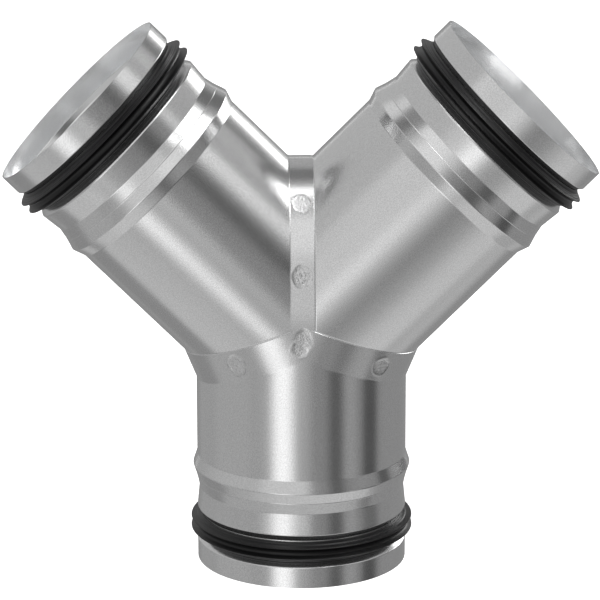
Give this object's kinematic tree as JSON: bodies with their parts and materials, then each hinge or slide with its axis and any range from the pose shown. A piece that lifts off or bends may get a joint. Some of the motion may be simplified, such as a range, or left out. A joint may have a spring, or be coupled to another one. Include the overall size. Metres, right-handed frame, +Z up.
{
  "type": "duct y branch",
  "caption": "Air duct Y branch in galvanised sheet: a straight trunk parts into angled branches, and each leg ends in a push-in spigot with a lipped rubber seal.",
  "frame": {"origin": "centre of the trunk's rim, on the plane that the part stands on", "axes": "+Z up along the trunk's axis, +X towards the right branch, -Y towards the viewer"},
  "size_m": [0.2223, 0.0846, 0.2066],
  "materials": {
    "galvanised_sheet": "satin zinc coating with a fine rolled grain",
    "seal_rubber": "smooth moulded black rubber"
  },
  "bodies": {
    "root": {"trunk": "galvanised_sheet", "left_branch": "galvanised_sheet", "right_branch": "galvanised_sheet", "trunk_seal": "seal_rubber", "left_seal": "seal_rubber", "right_seal": "seal_rubber"}
  },
  "joints": []
}
